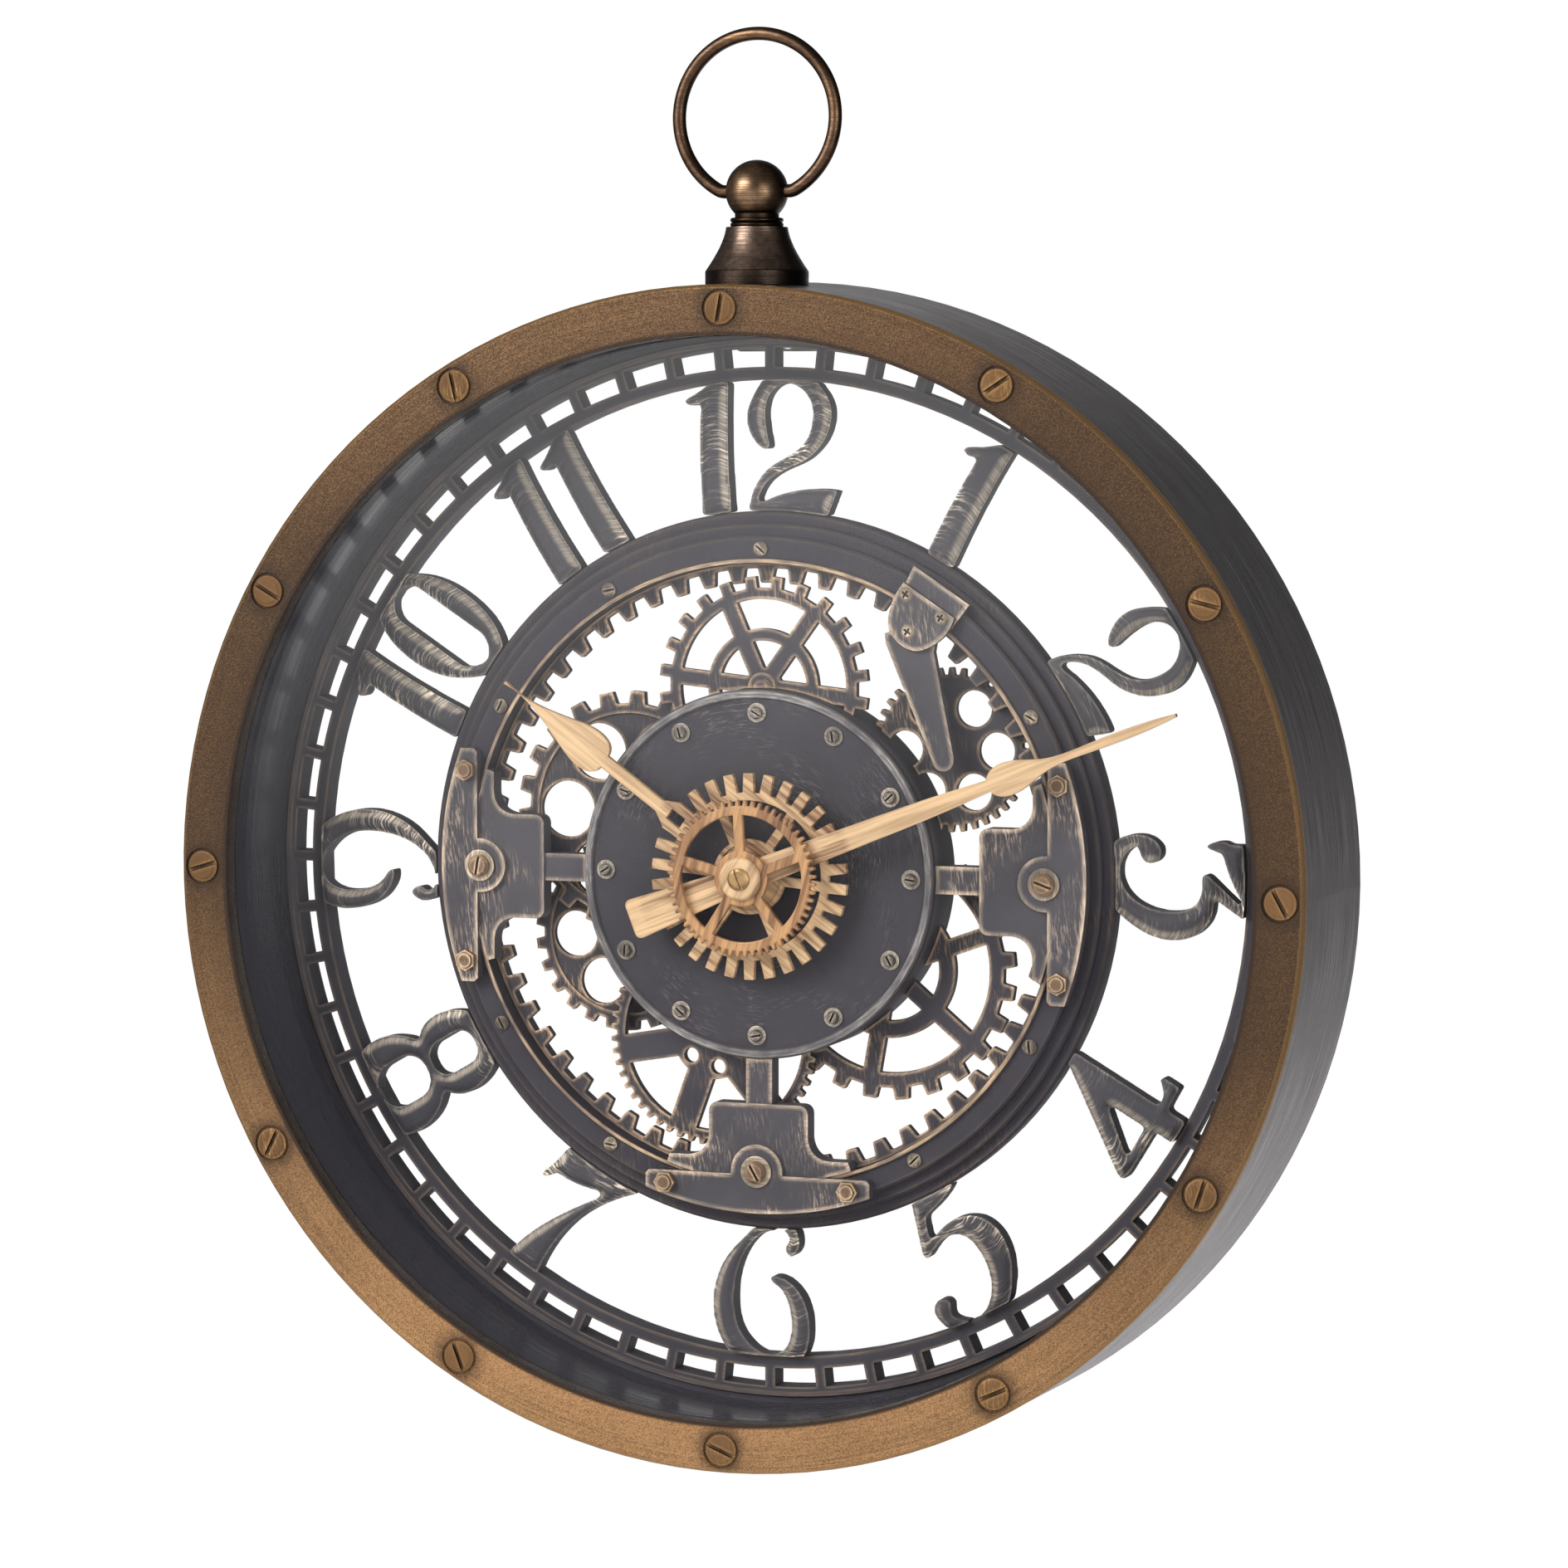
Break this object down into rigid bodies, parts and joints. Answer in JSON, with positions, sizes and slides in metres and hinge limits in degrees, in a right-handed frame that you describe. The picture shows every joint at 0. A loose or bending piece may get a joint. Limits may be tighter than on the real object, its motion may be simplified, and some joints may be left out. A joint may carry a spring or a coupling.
{
  "type": "skeleton wall clock",
  "caption": "Open-work wall clock in the form of a large pocket watch: bronze bezel, pierced dial with numerals and ornamental gears, geared hands, and a bow ring on top.",
  "frame": {"origin": "on the dial axis, in the plane of the wall that the back of the drum rests on", "axes": "+Z towards twelve o'clock, +X towards three o'clock, -Y out of the dial to the front"},
  "size_m": [0.4652, 0.0818, 0.5629],
  "materials": {
    "bronze": "speckled antique bronze",
    "dark_screws": "worn dark bronze",
    "gunmetal": "brushed gunmetal",
    "dark_bronze": "dark bronze with worn copper edges",
    "glass": "clear",
    "gasket": "matt",
    "shroud_black": "semi-gloss black",
    "dial_charcoal": "matt charcoal, gold rubbed on the edges",
    "old_steel": "aged",
    "hand_grain": "honey colour with a streaked grain",
    "plated_steel": "zinc plated",
    "movement_black": "matt black",
    "brass": "bright",
    "white_wheels": "natural white",
    "cell_jacket": "plain dark jacket",
    "board_green": "lacquered",
    "copper_wire": "enamelled copper"
  },
  "bodies": {
    "case": {"battery": "cell_jacket", "battery_contacts": "plated_steel", "bezel": "bronze", "bezel_screws": "dark_screws", "bracket_bottom": "dial_charcoal", "bracket_left": "dial_charcoal", "bracket_right": "dial_charcoal", "bush_nut": "brass", "case_drum": "gunmetal", "centre_disc": "dial_charcoal", "chapter_ring": "dial_charcoal", "circuit_board": "board_green", "cover_screws": "plated_steel", "dial_screws": "plated_steel", "disc_screws": "old_steel", "disc_washers": "old_steel", "fine_gear_seven": "dial_charcoal", "fine_gear_two": "dial_charcoal", "front_glass": "glass", "glass_gasket": "gasket", "hand_bush": "brass", "hanger_screws": "plated_steel", "hex_bolts": "old_steel", "inner_ring": "dial_charcoal", "keyhole_hanger": "plated_steel", "lower_left_gear": "dial_charcoal", "lower_right_gear": "dial_charcoal", "motor_coil": "copper_wire", "mount_washer": "gasket", "movement_housing": "movement_black", "numerals": "dial_charcoal", "pawl_lever": "dial_charcoal", "pawl_plate": "dial_charcoal", "pawl_screws": "old_steel", "pawl_tab": "dial_charcoal", "pendant_ball": "dark_bronze", "pendant_bell": "dark_bronze", "pendant_nut": "plated_steel", "pendant_washer": "plated_steel", "pivot_bolts": "old_steel", "pivot_washers": "old_steel", "rear_cover": "movement_black", "ring_gear": "dial_charcoal", "ring_screws": "old_steel", "shroud_ring": "shroud_black", "top_gear": "dial_charcoal", "upper_left_gear": "dial_charcoal"},
    "bow": {"bow_ring": "dark_bronze"},
    "minute": {"minute_hand": "hand_grain", "front_gear": "hand_grain", "hub_cap": "hand_grain", "hub_screw": "old_steel", "minute_arbor": "brass"},
    "hour": {"hour_hand": "hand_grain", "hour_wheel": "white_wheels"},
    "setting": {"minute_wheel": "white_wheels", "setting_knob": "white_wheels"}
  },
  "joints": [
    {"name": "minute_turn", "type": "hinge", "parent": "case", "child": "minute", "pos_m": [0, -0.05, 0], "axis": [0, 1, 0], "continuous": true},
    {"name": "hour_turn", "type": "hinge", "parent": "case", "child": "hour", "pos_m": [0, -0.04, 0], "axis": [0, 1, 0], "continuous": true},
    {"name": "setting_turn", "type": "hinge", "parent": "case", "child": "setting", "pos_m": [0, -0.025, 0.012], "axis": [0, 1, 0], "continuous": true},
    {"name": "bow_swing", "type": "hinge", "parent": "case", "child": "bow", "pos_m": [0, -0.039, 0.2668], "axis": [1, 0, 0], "range_deg": [-30, 115]}
  ],
  "couplings": [
    {"joint": "hour_turn", "follows": "minute_turn", "ratio": 0.083333},
    {"joint": "setting_turn", "follows": "minute_turn", "ratio": -0.33333}
  ]
}
